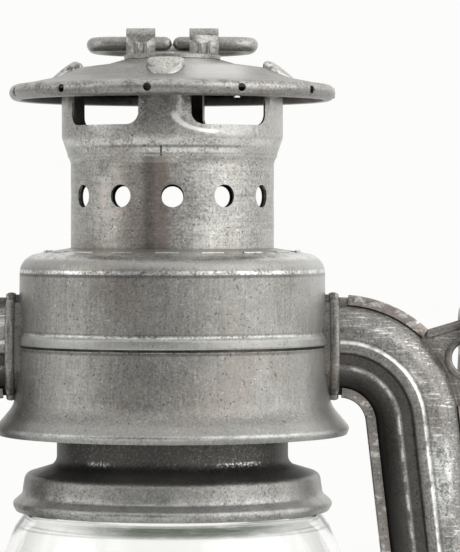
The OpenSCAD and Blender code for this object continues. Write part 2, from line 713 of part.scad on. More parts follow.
// Drum: slotted top, shoulder, raised bead and flared lower rim
module drum_shell() {
  color(zinc) difference() {
    turned([[chimney_r + slide_gap, drum_top - half_t], [chimney_r + 6, drum_top - 1.2, 3],
      [drum_r - 0.3, drum_top - 2, 3.8], [drum_r, drum_top - 4.8, 0], [drum_r + 0.15, drum_z + 20.4, 0.5],
      [drum_r + 0.75, drum_z + 19.7, 0.5], [drum_r + 0.8, drum_z + 18.3, 0.5],
      [drum_r + 0.3, drum_z + 17.6, 0.5], [drum_r + 1.1, drum_z + 5.6, 6],
      [flare_r, drum_z + 0.9, 0.7], [flare_r - 0.5, drum_z - 0.3]]);
    both_sides() translate([0, 0, bend_z + bend_r]) along_x(drum_r - 4, drum_r + 6)
      polygon([for (q = socket_outline(0.9 + seat_gap)) [q.y, q.x]]);
    for (i = [0:slot_count - 1]) rotate([0, 0, 360 * i / slot_count - 97.4]) rotate_extrude(angle = 10)
      translate([chimney_r + 3.5, drum_top - 6]) square([1.8, 12]);
  }
}

// Drum floor: a cone with the collar that guides the cap's neck
module drum_floor() {
  color(dull_zinc) turned([[drum_r + 0.85 - half_t - seat_gap, drum_z + 5],
    [neck_r + slide_gap + half_t, drum_z + 10, 0.8], [neck_r + slide_gap + half_t, drum_z + 13.2]]);
}

// Bail: eyes on the ear strips, straight legs and a round crown
module bail() {
  color(bright_wire) translate([0, 0, pivot_z]) rotate([bail_rest - 180, 0, 0]) union() {
    for (s = [-1, 1]) translate([s * ear_x, 0, 0]) {
      rotate([0, 90, 0]) rotate_extrude() translate([eye_r, 0]) circle(wire_d / 2, $fn = 48);
      translate([0, 0, eye_r]) cylinder(r = wire_d / 2, h = bail_h - ear_x - eye_r, $fn = 48);
    }
    translate([0, 0, bail_h - ear_x]) rotate([90, 0, 0]) rotate_extrude(angle = 180)
      translate([ear_x, 0]) circle(wire_d / 2, $fn = 48);
  }
}

// Bracket on the left arm, its pin, and the lever that lifts the globe plate
module lever_bracket() {
  z = low_z + tube_half + 0.57 + seat_gap;
  color(dull_zinc) difference() {
    union() {
      translate([lever_x - 3, -1.6, z]) cube([6, lever_y - 0.6, 1]);
      translate([lever_x - 3, lever_y - 3.2, z]) cube([6, 1, lever_z + 3 - z]);
    }
    translate([lever_x, lever_y, lever_z]) rotate([90, 0, 0])
      cylinder(r = pin_r + seat_gap, h = 20, center = true, $fn = 48);
    translate([lever_x, lever_y - 3.2, lever_z]) rotate([90, 0, 0])
      cylinder(r = pin_r + 0.95, h = 1.4, $fn = 48);
  }
}

module lever_pin() {
  color(brass) translate([lever_x, lever_y + 2.7, lever_z]) rotate([90, 0, 0]) {
    cylinder(r = pin_r, h = 6.8, $fn = 48);
    for (s = [0, 6]) translate([0, 0, s]) cylinder(r = pin_r + 0.8, h = 0.8, $fn = 48);
  }
}

module globe_lever() {
  color(zinc) translate([lever_x, lever_y, lever_z]) rotate([90, 0, 0]) difference() {
    union() {
      translate([0, 0, -1.6]) cylinder(r = pin_r + 1.6, h = 3.2);
      rotate([0, 0, lever_low]) translate([0, 0.4 - tip_r, -1]) cube([lever_arm, 2 * tip_r - 0.8, 2]);
      rotate([0, 0, lever_low]) translate([lever_arm, 0, -1]) cylinder(r = tip_r, h = 2);
      rotate([0, 0, 168]) translate([0, -1.2, -1]) cube([20, 2.4, 2]);
      rotate([0, 0, 168]) translate([18, -0.6, -5]) cube([8, 1.2, 10]);
    }
    cylinder(r = pin_r + pin_gap, h = 20, center = true, $fn = 48);
  }
}

tank_floor();
tank_shell();
filler_neck();
air_chamber();
chamber_cover();
burner_base();
wick_tube();
burner_cone();
shaft_bush();
shaft_bracket();
tube_right_front();
tube_right_back();
tube_left_front();
tube_left_back();
seam_strips();
tube_sockets();
ear_eyelets();
drum_shell();
drum_floor();
lever_bracket();
lever_pin();
chimney_spring();
globe_plate();
guard_wire_low_left();
guard_wire_low_right();
guard_legs();
globe();
globe_cap();
chimney_tube();
chimney_collar();
hood();
ring_strap();
lift_ring();
bail();
globe_lever();
wick_shaft();
wick_wheels();
wick_knob();
wick();
cap_seal();
filler_cap();
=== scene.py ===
# Hurricane lantern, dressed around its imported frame. Metres, +Z up, front towards -Y.
import json
import math

import bmesh
import bpy
from mathutils import Matrix, Vector


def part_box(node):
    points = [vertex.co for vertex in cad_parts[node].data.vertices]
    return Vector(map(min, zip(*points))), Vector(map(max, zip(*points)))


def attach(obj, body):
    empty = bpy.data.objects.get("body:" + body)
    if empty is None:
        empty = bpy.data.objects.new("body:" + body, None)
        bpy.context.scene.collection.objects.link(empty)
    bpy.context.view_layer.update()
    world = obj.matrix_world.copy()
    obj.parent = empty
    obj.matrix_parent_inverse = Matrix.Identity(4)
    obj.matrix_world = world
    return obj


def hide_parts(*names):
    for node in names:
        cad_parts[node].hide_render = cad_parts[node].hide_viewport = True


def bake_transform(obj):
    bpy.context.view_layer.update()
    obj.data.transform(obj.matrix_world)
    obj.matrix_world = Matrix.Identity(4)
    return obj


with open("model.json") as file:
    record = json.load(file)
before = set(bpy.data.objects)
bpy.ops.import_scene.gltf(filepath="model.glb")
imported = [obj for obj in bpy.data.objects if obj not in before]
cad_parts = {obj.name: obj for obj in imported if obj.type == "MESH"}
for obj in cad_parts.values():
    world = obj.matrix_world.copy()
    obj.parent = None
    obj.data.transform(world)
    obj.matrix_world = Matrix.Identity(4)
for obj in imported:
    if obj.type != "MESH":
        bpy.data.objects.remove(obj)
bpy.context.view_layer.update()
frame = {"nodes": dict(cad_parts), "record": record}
mm = 0.001

# The photograph: a long lens level with the drum's top, turned right of the lantern's axis.
# The axis stands left of the picture's middle.
camera = bpy.data.objects.new("camera", bpy.data.cameras.new("camera"))
camera.data.lens = 208.7
camera.data.sensor_width = 36
camera.data.clip_start = 0.05
camera.location = (0, -0.664, 0.2254)
camera.rotation_euler = (math.radians(89.0), 0, math.radians(-1.03))
bpy.context.scene.collection.objects.link(camera)
bpy.context.scene.camera = camera


# Tank: a drawn shell crimped to a floor whose folded rim is the foot.
# Both are zinc-coated sheet, gone dull and mottled with handling and oil.
def new_node(tree, kind, settings=None, inputs=None):
    """A node with its settings, then the values of its sockets or the sockets that feed them."""
    made = tree.nodes.new(kind)
    for key, value in (settings or {}).items():
        setattr(made, key, value)
    for key, value in (inputs or {}).items():
        if isinstance(value, bpy.types.NodeSocket):
            tree.links.new(value, made.inputs[key])
        else:
            made.inputs[key].default_value = value
    return made


class Value:
    """A shader socket on which Python's operators add Math nodes."""

    def __init__(self, finish, socket):
        self.finish = finish
        self.socket = socket

    def math(self, operation, *others):
        inputs = dict(enumerate((self, *others)))
        return self.finish.node("ShaderNodeMath", {"operation": operation}, inputs)

    def __add__(self, other):
        return self.math("ADD", other)

    def __sub__(self, other):
        return self.math("SUBTRACT", other)

    def __rsub__(self, other):
        return self * -1.0 + other

    def __mul__(self, other):
        return self.math("MULTIPLY", other)

    __radd__ = __add__
    __rmul__ = __mul__

    def between(self, low, high):
        """0 below low and 1 above high, with a smooth rise between them."""
        settings = {"interpolation_type": "SMOOTHSTEP"}
        ends = {"Value": self, "From Min": low, "From Max": high}
        return self.finish.node("ShaderNodeMapRange", settings, ends)

    def near(self, middle, half, soft):
        """1 within half of the middle, falling to 0 over the soft width."""
        return 1.0 - (self - middle).math("ABSOLUTE").between(half, half + soft)


class Finish:
    """A material whose nodes are added one by one, around one Principled shader."""

    def __init__(self, name):
        self.material = bpy.data.materials.new(name)
        self.material.use_nodes = True
        self.tree = self.material.node_tree
        self.shader = self.tree.nodes["Principled BSDF"]
        self.place = self.node("ShaderNodeTexCoord", output="Object")

    def node(self, kind, settings=None, inputs=None, output=0):
        fed = {}
        for key, value in (inputs or {}).items():
            fed[key] = value.socket if isinstance(value, Value) else value
        return Value(self, new_node(self.tree, kind, settings, fed).outputs[output])

    def set(self, socket, value):
        if isinstance(value, Value):
            self.tree.links.new(value.socket, socket)
        else:
            socket.default_value = value

    def axis(self, name):
        return self.node("ShaderNodeSeparateXYZ", None, {"Vector": self.place}, name)

    def attribute(self, name):
        return self.node("ShaderNodeAttribute", {"attribute_name": name}, None, "Fac")

    def noise(self, size, detail=4.0, rough=0.6, stretch=(1, 1, 1), seed=0.0):
        """Cloudy noise with features of about that size in metres, stretched along the axes."""
        scale = Vector(1 / (size * s) for s in stretch)
        place = {"Vector": self.place, "Location": (seed, seed, seed), "Scale": scale}
        place = self.node("ShaderNodeMapping", None, place)
        inputs = {"Vector": place, "Scale": 1.0, "Detail": detail, "Roughness": rough}
        return self.node("ShaderNodeTexNoise", None, inputs)

    def blend(self, amount, first, second):
        """A colour between two, by amount."""
        ends = [c if isinstance(c, Value) else (*c, 1) for c in (first, second)]
        inputs = {0: amount, 6: ends[0], 7: ends[1]}
        return self.node("ShaderNodeMix", {"data_type": "RGBA"}, inputs, 2)

    def coat(self, **sockets):
        for key, value in sockets.items():
            label = key.replace("_", " ").title().replace("Ior", "IOR")
            self.set(self.shader.inputs[label], value)

    def bump(self, height, depth, strength=1.0):
        relief = {"Height": height, "Distance": depth, "Strength": strength}
        self.set(self.shader.inputs["Normal"], self.node("ShaderNodeBump", None, relief))


class Zinc(Finish):
    """Zinc-coated sheet: clouds, mottling and fine grain, with flakes, pits and brown tarnish."""

    def __init__(self, name, dark, light, brown, streak=(1, 1, 1), lines=0.0, rough=0.42,
                 spread=0.42):
        super().__init__(name)
        self.light = light
        self.clouds = self.noise(17 * mm, 4, 0.6)
        self.mottle = self.noise(3.2 * mm, 4, 0.62, seed=3.0)
        self.grain = self.noise(0.46 * mm, 2, 0.6, seed=7.0)
        streaks = self.noise(0.5 * mm, 3, 0.6, streak, 9.0)
        tone = self.clouds * 0.5 + self.mottle * 0.3 + self.grain * 0.9 + streaks * lines
        middle = 0.5 * (1.7 + lines)
        warm = Vector((1.0, 0.985, 0.925))
        tone = tone.between(middle - spread, middle + spread)
        self.colour = self.blend(tone, warm * dark, warm * light)
        tarnish = self.noise(21 * mm, 4, 0.65, (1, 1, 1.6), 11.0).between(0.46, 0.68)
        self.tint(tarnish * brown, (0.25, 0.195, 0.17))
        flakes = self.noise(0.6 * mm, 1, 0.5, seed=5.0).between(0.62, 0.72)
        self.tint(flakes * self.mottle.between(0.45, 0.65) * 0.35, [min(1, light * 1.8)] * 3)
        pits = self.noise(0.7 * mm, 1, 0.5, seed=13.0).between(0.66, 0.74)
        self.tint(pits * 0.6, [dark * 0.35] * 3)
        self.rough = rough + (self.clouds - 0.5) * 0.2 + (self.grain - 0.5) * 0.25
        self.relief = self.clouds * 0.4 + self.mottle * 0.05 + self.grain * 0.025 - pits * 0.03

    def tint(self, amount, colour):
        self.colour = self.blend(amount, self.colour, colour)

    def wear_and_highlight(self, amount, gain=1.9):
        """Rubbed bright, in broken patches; the same lightening also serves for painted highlights.
        """
        broken = amount * (self.mottle * 0.7 + self.grain * 0.6).between(0.5, 0.75)
        self.tint(broken, [min(0.95, self.light * gain)] * 3)
        self.rough = self.rough - broken * 0.15

    def stain_and_shade(self, amount, colour=(0.03, 0.028, 0.025)):
        """Darkened with soot or old oil; the same darkening also serves for painted shade."""
        self.tint(amount, colour)
        self.rough = self.rough + amount * 0.12

    def done(self):
        self.coat(base_color=self.colour, metallic=0.85, roughness=self.rough)
        self.bump(self.relief, 1 * mm)
        return self.material


SHARP, WELD = math.radians(34), 0.002 * mm
BODIES = frame["record"]["behaviour"]["bodies"]
BODY_OF = {node: body for body, nodes in BODIES.items() for node in nodes}


def smooth(mesh):
    """Rounds the shading, apart from the sharp edges."""
    mesh.polygons.foreach_set("use_smooth", [True] * len(mesh.polygons))
    mesh.set_sharp_from_angle(angle=SHARP)


def fit(piece, material, node):
    """Gives a piece its material, and the body of a node."""
    piece.data.materials.clear()
    piece.data.materials.append(material)
    bpy.context.scene.collection.objects.link(piece)
    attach(piece, BODY_OF[node])
    return piece


def dress(node, material):
    """A smooth-shaded skin in the solid's own shape, shown in its place."""
    mesh = frame["nodes"][node].data.copy()
    form = bmesh.new()
    form.from_mesh(mesh)
    bmesh.ops.remove_doubles(form, verts=form.verts, dist=WELD)
    form.to_mesh(mesh)
    form.free()
    smooth(mesh)
    piece = fit(bpy.data.objects.new(node + "_skin", mesh), material, node)
    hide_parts(node)
    return piece


def second(piece, material, chosen, reach=1.0):
    """Gives another material to faces near the axis that a test of middle and normal chooses."""
    piece.data.materials.append(material)
    index = len(piece.data.materials) - 1
    spread = [math.hypot(v.co.x, v.co.y) for v in piece.data.vertices]
    for face in piece.data.polygons:
        if chosen(face.center, face.normal) and max(spread[v] for v in face.vertices) < reach:
            face.material_index = index


def outward(point, normal):
    """How far a face looks away from the lantern's axis: 1 straight out, -1 straight in."""
    flat = Vector((point.x, point.y, 0))
    return normal.dot(flat.normalized()) if flat.length > 0 else 0.0


soot = Zinc("soot", 0.012, 0.06, 0.6, rough=0.6).done()
tank_zinc = Zinc("tank_zinc", 0.13, 0.42, 0.4).done()
dull_zinc = Zinc("dull_zinc", 0.06, 0.24, 0.5, rough=0.5).done()
dress("tank_shell", tank_zinc)
dress("tank_floor", dull_zinc)

# Filler: a soldered neck, a rubber ring on its mouth and a fluted brass cap screwed over both.
# The brass has gone brown between the flutes.
old_brass = Finish("old_brass")
clouds = old_brass.noise(6 * mm, 5, 0.6)
grain = old_brass.noise(0.6 * mm, 2, 0.5, seed=4.0)
tone = (clouds * 0.8 + grain * 0.4).between(0.4, 0.9)
old_brass.coat(base_color=old_brass.blend(tone, (0.16, 0.11, 0.05), (0.55, 0.42, 0.20)),
               metallic=1.0, roughness=0.46 - clouds * 0.2 + grain * 0.1)
old_brass.bump(grain, 0.05 * mm)
rubber = Finish("black_rubber")
rubber.coat(base_color=(0.02, 0.02, 0.02, 1), roughness=0.6 + rubber.noise(0.8 * mm) * 0.3)
dress("filler_neck", dull_zinc)
dress("cap_seal", rubber.material)
dress("filler_cap", old_brass.material)

# Burner: a brass base, the wick's flat tube and a flame cone, with a toothed shaft and its knob.
# The pieces are stamped and soldered together.
for node in ("burner_base", "wick_tube", "burner_cone", "shaft_bush", "shaft_bracket",
             "wick_wheels", "wick_knob"):
    dress(node, old_brass.material)
dress("wick_shaft", dull_zinc)

# Wick: a flat cotton weave, singed black at its upper end.
# It is gripped by the toothed wheels in its tube.
cotton = Finish("woven_cotton")
wick_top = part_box("wick")[1].z
weave = {"Vector": cotton.place, "Scale": 500.0, "Distortion": 1.0}
weave = cotton.node("ShaderNodeTexWave", None, weave)
singed = cotton.axis("Z").between(wick_top - 4 * mm, wick_top - 1 * mm)
threads = cotton.blend(weave, (0.55, 0.49, 0.38), (0.72, 0.66, 0.54))
cotton.coat(base_color=cotton.blend(singed, threads, (0.03, 0.028, 0.025)), roughness=0.9)
cotton.bump(weave, 0.15 * mm)
dress("wick", cotton.material)

# Air chamber: a short can on the tank with two sleeves for the air tubes.
# Its perforated cover carries the collar that the globe plate slides on.
dress("air_chamber", tank_zinc)
dress("chamber_cover", dull_zinc)

# Globe lever: a thumb tab on a riveted bracket, whose tip lifts the globe plate.
# It is cut from the same sheet as the tubes.
dress("lever_bracket", dull_zinc)
dress("lever_pin", old_brass.material)
dress("globe_lever", tank_zinc)

# Air tubes: two pressed halves each, held by strips folded over their seams.
# Painted highlight on the ridge, painted shade in the groove; the side towards the globe is darker.
BEND_R, SPLAY, LEG = 16.2 * mm, math.radians(6.5), 111.21 * mm
LEG_TOP = Vector((50.796, 184.884)) * mm


def across_tube(point):
    """Distance from the tube's middle line in millimetres, positive away from the globe."""
    x, z = abs(point.x) - LEG_TOP.x, point.z - LEG_TOP.y
    side = x * math.cos(SPLAY) + z * math.sin(SPLAY)
    up = z * math.cos(SPLAY) - x * math.sin(SPLAY)
    if -LEG <= up <= 0:
        return side / mm
    return (math.hypot(side + BEND_R, up if up > 0 else up + LEG) - BEND_R) / mm


def mark_across(piece):
    values = piece.data.attributes.new("across", "FLOAT", "POINT")
    values.data.foreach_set("value", [across_tube(v.co) for v in piece.data.vertices])


metal = Zinc("tube_zinc", 0.09, 0.37, 0.25, (9, 9, 1), 0.3, 0.42)
across = metal.attribute("across")
scratches = metal.noise(0.34 * mm, 2, 0.5, (22, 4, 1), 21.0).between(0.56, 0.68)
metal.wear_and_highlight(scratches * across.between(1.2, 3.0) * 0.7, 2.0)
metal.wear_and_highlight(across.near(3.0, 1.4, 2.2) * metal.clouds.between(0.42, 0.6) * 0.8, 1.8)
# Darker towards the globe; painted shade in the groove and beside the ridge; painted highlights on
# the ridge and past the groove.
metal.stain_and_shade((1.0 - across.between(-7.5, -1.5)) * 0.82)
metal.stain_and_shade(across.near(-2.5, 0.9, 0.6) * 0.68)
metal.stain_and_shade((1.0 - across.between(-9.4, -6.6)) * 0.85)
metal.wear_and_highlight(across.near(-4.3, 0.1, 0.28) * metal.mottle.between(0.4, 0.6), 1.5)
ridge_highlight = across.near(1.0, 0.16, 0.34) * metal.mottle.between(0.32, 0.62)
metal.tint(ridge_highlight * 0.95, (0.74, 0.73, 0.70))
metal.stain_and_shade(across.near(1.75, 0.1, 0.3) * 0.35)
metal.stain_and_shade(across.near(8.9, 0.2, 0.5) * 0.5, (0.10, 0.075, 0.05))
tube_zinc = metal.done()
for side in ("right", "left"):
    for half in ("front", "back"):
        mark_across(dress(f"tube_{side}_{half}", tube_zinc))
metal = Zinc("strip_zinc", 0.13, 0.42, 0.75, rough=0.46)
metal.tint(metal.mottle.between(0.35, 0.6) * 0.5, (0.38, 0.31, 0.27))
metal.wear_and_highlight(metal.noise(1.6 * mm, 3, 0.6, (2, 1, 1), 17.0).between(0.54, 0.64) * 0.9, 1.7)
metal.stain_and_shade(metal.noise(1.1 * mm, 2, 0.6, seed=19.0).between(0.62, 0.7) * 0.6)
strip_zinc = metal.done()
ear_zinc = Zinc("ear_zinc", 0.09, 0.36, 0.45).done()
dress("seam_strips", strip_zinc)
dress("tube_sockets", dull_zinc)
dress("ear_eyelets", ear_zinc)


# Ear hems: the edge of each bail ear, from the seam's notch round to the ear's foot.
# The zinc sheet is folded over there, so that the bail's eye doesn't bear on a cut edge.
def skin(name, rings, looped=False):
    """A closed mesh over a row of like rings of points, its ends filled or joined to each other."""
    form = bmesh.new()
    rows = [[form.verts.new(point) for point in ring] for ring in rings]
    following = rows[1:] + rows[:1] if looped else rows[1:]
    for low, high in zip(rows, following):
        for i in range(len(low)):
            form.faces.new((low[i - 1], low[i], high[i], high[i - 1]))
    if not looped:
        form.faces.new(rows[0])
        form.faces.new(rows[-1])
    bmesh.ops.recalc_face_normals(form, faces=form.faces)
    mesh = bpy.data.meshes.new(name)
    form.to_mesh(mesh)
    form.free()
    smooth(mesh)
    return mesh


def solid(name, rings, material, node, looped=False):
    """A piece with that closed skin, on the body of a node."""
    return fit(bpy.data.objects.new(name, skin(name, rings, looped)), material, node)


def bar_rings(path, up, wide, high, sides=16):
    """Rings of a bar of oval section along a flat path, domed at both ends."""
    ways = [(after - before).normalized()
            for before, after in zip(path[:1] + path[:-1], path[1:] + path[-1:])]
    dome = [math.radians(a) for a in (80, 60, 40, 20)]
    first, last = ways[0], ways[-1]
    steps = [(path[0] - first * wide * math.sin(a), first, math.cos(a)) for a in dome]
    steps += [(p, way, 1.0) for p, way in zip(path, ways)]
    steps += [(path[-1] + last * wide * math.sin(a), last, math.cos(a)) for a in reversed(dome)]
    turn = [2 * math.pi * k / sides for k in range(sides)]
    return [[p + (way.cross(up) * wide * math.cos(a) + up * high * math.sin(a)) * size
             for a in turn] for p, way, size in steps]


EAR, EAR_R = Vector((61.1, 0, 196.75)) * mm, 8 * mm
HEM_W, HEM_H = 1.05 * mm, 1.1 * mm
HEM_START, EDGE_STEPS = Vector((53.17, 0, 201.67)) * mm, 5
RIM_START, RIM_FOOT, RIM_STEPS = math.radians(109), math.radians(-92), 30
rim = [EAR + Vector((math.cos(a), 0, math.sin(a))) * (EAR_R - HEM_W)
       for a in (RIM_START + (RIM_FOOT - RIM_START) * i / RIM_STEPS for i in range(RIM_STEPS + 1))]
edge = [HEM_START + (rim[0] - HEM_START) * i / EDGE_STEPS for i in range(EDGE_STEPS)]
for side, sign in (("right", 1), ("left", -1)):
    path = [Vector((p.x * sign, p.y, p.z)) for p in edge + rim]
    rings = bar_rings(path, Vector((0, 1, 0)), HEM_W, HEM_H)
    solid(f"ear_hem_{side}", rings, ear_zinc, "ear_eyelets")

# Socket beads: the rolled edge of each collar that takes a tube's end at the drum.
# Each is a half-round ring of the same sheet, swollen out from the socket's own outline.
BEAD_FROM, BEAD_TO, BEAD_OUT, BEAD_GAP = 32.45 * mm, 34.35 * mm, 0.6 * mm, 0.03 * mm
BEAD_STEPS, SOCKET_END = 8, 34 * mm


def end_outline(mesh, beyond):
    """The outline in Y and Z of the faces that look along +X beyond a plane, turning one way."""
    form = bmesh.new()
    form.from_mesh(mesh)
    bmesh.ops.remove_doubles(form, verts=form.verts, dist=WELD)
    form.normal_update()
    ends = [f for f in form.faces if f.normal.x > 0.99 and f.calc_center_median().x > beyond]
    links = {}
    for edge in (e for f in ends for e in f.edges if sum(g in ends for g in e.link_faces) == 1):
        for vertex in edge.verts:
            links.setdefault(vertex, []).append(edge.other_vert(vertex))
    first = max(links, key=lambda v: v.co.z)
    loop = [first, links[first][0]]
    while loop[-1] is not first:
        loop.append(next(v for v in links[loop[-1]] if v is not loop[-2]))
    points = [Vector((v.co.y, v.co.z)) for v in loop[:-1]]
    form.free()
    if sum(a.cross(b) for a, b in zip(points, points[1:] + points[:1])) < 0:
        points.reverse()
    return points


outline = end_outline(frame["nodes"]["tube_sockets"].data, SOCKET_END)
outs = []
for before, point, after in zip(outline[-1:] + outline, outline, outline[1:] + outline[:1]):
    step = (point - before).normalized() + (after - point).normalized()
    outs.append(Vector((step.y, -step.x)).normalized())
for side, sign in (("right", 1), ("left", -1)):
    rings = []
    for k in range(BEAD_STEPS + 1):
        a = math.pi * k / BEAD_STEPS
        x = BEAD_FROM + (BEAD_TO - BEAD_FROM) * (1 - math.cos(a)) / 2
        swollen = [p + out * (BEAD_OUT * math.sin(a) + BEAD_GAP) for p, out in zip(outline, outs)]
        rings.append([Vector((x * sign, p.x, p.y)) for p in swollen])
    solid(f"socket_bead_{side}", rings, ear_zinc, "tube_sockets", True)

# Drum: a spun cover of zinc-coated sheet with a slotted top, a raised bead and a flared rim.
# It is crimped on a coned floor; bright lines on its edges are partly rubbed wear, partly painted
# highlight.
DRUM_Z, DRUM_TOP = 181.6 * mm, 219.6 * mm


def front_of(finish, full=-8 * mm, none=-2 * mm):
    """1 on the photographer's side of the lantern, falling to 0 between two levels of Y."""
    return 1.0 - finish.axis("Y").between(full, none)


metal = Zinc("drum_zinc", 0.14, 0.40, 0.35, (1, 1, 16), 0.5, 0.40, 0.5)
z = metal.axis("Z")
# Bright lines on the shoulder, the bead's edges, the rim and the top: partly rubbed wear, partly
# painted highlight.
for level, half, soft, amount in ((33.3, 0.18, 0.35, 0.75), (20.55, 0.14, 0.3, 0.6),
                                  (17.75, 0.14, 0.3, 0.75), (0.9, 0.2, 0.4, 0.3),
                                  (36.6, 0.4, 0.8, 0.7)):
    metal.wear_and_highlight(z.near(DRUM_Z + level * mm, half * mm, soft * mm) * amount, 2.1)
# Painted shade: dark lines in the creases under the shoulder and below and above the bead.
for level, half, soft, amount in ((32.6, 0.16, 0.3, 0.5), (17.2, 0.18, 0.35, 0.45),
                                  (20.9, 0.1, 0.3, 0.3)):
    metal.stain_and_shade(z.near(DRUM_Z + level * mm, half * mm, soft * mm) * amount)
metal.tint(z.near(DRUM_Z + 19.1 * mm, 0.9 * mm, 0.5 * mm) * 0.4, (0.48, 0.49, 0.47))
# Painted highlight: the shoulder's upward-facing top is lighter.
metal.tint(z.between(DRUM_Z + 33.2 * mm, DRUM_Z + 35.5 * mm) * 0.42, (0.50, 0.50, 0.48))
metal.tint(z.near(DRUM_Z + 1.6 * mm, 1.0 * mm, 1.2 * mm) * 0.25, (0.48, 0.49, 0.48))
x, front = metal.axis("X"), front_of(metal)
# Painted shade dims the right front, and painted light brightens the right side.
metal.tint(x.near(15 * mm, 4 * mm, 7 * mm) * front * 0.14, (0.06, 0.06, 0.06))
metal.tint(x.between(22 * mm, 30 * mm) * 0.35, (0.6, 0.6, 0.58))
drum_zinc = metal.done()
second(dress("drum_shell", drum_zinc), soot, lambda p, n: outward(p, n) < -0.2 or n.z < -0.5)
dress("drum_floor", soot)


# Slot lips: the raised outer edge that the punch left at each air slot in the drum's top.
# One bent rod of bright zinc is set round the top as often as there are slots.
def tree_of(name, **inputs):
    """A Geometry Nodes tree with those inputs, and the sockets that give them."""
    made = bpy.data.node_groups.new(name, "GeometryNodeTree")
    made.interface.new_socket("Geometry", in_out="OUTPUT", socket_type="NodeSocketGeometry")
    for key, kind in inputs.items():
        made.interface.new_socket(key, in_out="INPUT", socket_type=f"NodeSocket{kind}")
    return made, new_node(made, "NodeGroupInput").outputs


def socket_of(tree, kind, inputs=None, settings=None):
    """The first output of a new node."""
    return new_node(tree, kind, settings, inputs).outputs[0]


def finish_tree(tree, places, turn, shape, material):
    """Sets the shape on the places, makes it real and gives it the material."""
    copies = socket_of(tree, "GeometryNodeInstanceOnPoints",
                       {"Points": places, "Instance": shape, "Rotation": turn})
    real = socket_of(tree, "GeometryNodeRealizeInstances", {"Geometry": copies})
    rounded = socket_of(tree, "GeometryNodeSetShadeSmooth", {"Geometry": real})
    dressed = socket_of(tree, "GeometryNodeSetMaterial",
                        {"Geometry": rounded, "Material": material})
    new_node(tree, "NodeGroupOutput", None, {"Geometry": dressed})


def grown(name, tree, node, shift, **values):
    """The plain mesh that a tree makes with those values, shifted to its place on a node."""
    seedling = bpy.data.objects.new(name, bpy.data.meshes.new(name))
    bpy.context.scene.collection.objects.link(seedling)
    modifier = seedling.modifiers.new(name, "NODES")
    modifier.node_group = tree
    for item in tree.interface.items_tree:
        if item.in_out == "INPUT":
            modifier[item.identifier] = values[item.name]
    ready = seedling.evaluated_get(bpy.context.evaluated_depsgraph_get())
    mesh = bpy.data.meshes.new_from_object(ready)
    bpy.data.objects.remove(seedling)
    mesh.transform(shift)
    return fit(bpy.data.objects.new(name, mesh), values["Material"], node)


SLOTS, SLOT_R, SLOT_SWEEP, SLOT_TURN = 18, 26.45 * mm, math.radians(10), math.radians(-97.4)
LIP_R, LIP_DROP = 0.3 * mm, 0.75 * mm
bright_zinc = Zinc("bright_zinc", 0.30, 0.62, 0.15, rough=0.34).done()
tree, given = tree_of("slot_lips", Count="Int", Radius="Float", Sweep="Float", Wire="Float",
                      Material="Material")
spots = socket_of(tree, "GeometryNodeMeshLine", {"Count": given["Count"], "Offset": (0, 0, 0)})
index = socket_of(tree, "GeometryNodeInputIndex")
share = socket_of(tree, "ShaderNodeMath", {0: 2 * math.pi, 1: given["Count"]},
                  {"operation": "DIVIDE"})
angle = socket_of(tree, "ShaderNodeMath", {0: index, 1: share}, {"operation": "MULTIPLY"})
turn = socket_of(tree, "FunctionNodeAxisAngleToRotation", {"Axis": (0, 0, 1), "Angle": angle})
arc = socket_of(tree, "GeometryNodeCurveArc", {"Resolution": 10, "Radius": given["Radius"],
                                               "Start Angle": 0.0, "Sweep Angle": given["Sweep"]})
rod = socket_of(tree, "GeometryNodeCurvePrimitiveCircle",
                {"Resolution": 8, "Radius": given["Wire"]})
shape = socket_of(tree, "GeometryNodeCurveToMesh",
                  {"Curve": arc, "Profile Curve": rod, "Fill Caps": True})
finish_tree(tree, spots, turn, shape, given["Material"])
shift = Matrix.Translation((0, 0, DRUM_TOP - LIP_DROP)) @ Matrix.Rotation(SLOT_TURN, 4, "Z")
grown("slot_lips", tree, "drum_shell", shift, Count=SLOTS, Radius=SLOT_R, Sweep=SLOT_SWEEP,
      Wire=LIP_R, Material=bright_zinc)

# Chimney spring: a coil of steel wire between the drum's top and the globe cap's flange.
# It shortens as the chimney rises; here it is made as a lower and an upper half of fixed shape.
COILS, STEPS, SPRING_WIRE, WIRE_SIDES, PARTING = 4, 20, 0.6 * mm, 8, 43
low_corner, high_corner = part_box("chimney_spring")
coil_r = high_corner.x - SPRING_WIRE
low, high = low_corner.z + SPRING_WIRE, high_corner.z - SPRING_WIRE
levels = [low + (high - low) * i / (COILS * STEPS) for i in range(COILS * STEPS + 1)]
rings = []
wire_turns = [2 * math.pi * k / WIRE_SIDES for k in range(WIRE_SIDES)]
for i, level in enumerate(levels):
    a = 2 * math.pi * i / STEPS
    out, up = Vector((math.cos(a), math.sin(a), 0)), Vector((0, 0, 1))
    rings.append([out * (coil_r + SPRING_WIRE * math.cos(b))
                  + up * (level + SPRING_WIRE * math.sin(b)) for b in wire_turns])
for name, part, bodies, ends in (
        ("spring_lower", rings[:PARTING + 1], ("chimney", "carrier"), (low, levels[PARTING])),
        ("spring_upper", rings[PARTING:], ("carrier", "frame"), (levels[PARTING], high))):
    piece = bpy.data.objects.new(name, skin(name, part))
    piece.data.materials.append(dull_zinc)
    bpy.context.scene.collection.objects.link(piece)
    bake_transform(piece)
    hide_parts("chimney_spring")

# Globe plate and guard: a dished plate with two crossed hoops of bare wire on four legs.
# The legs are soldered into the plate's rim.
wire_zinc = Zinc("wire_zinc", 0.17, 0.46, 0.3, rough=0.36).done()
dress("globe_plate", tank_zinc)
for node in ("guard_wire_low_left", "guard_wire_low_right", "guard_legs"):
    dress(node, wire_zinc)
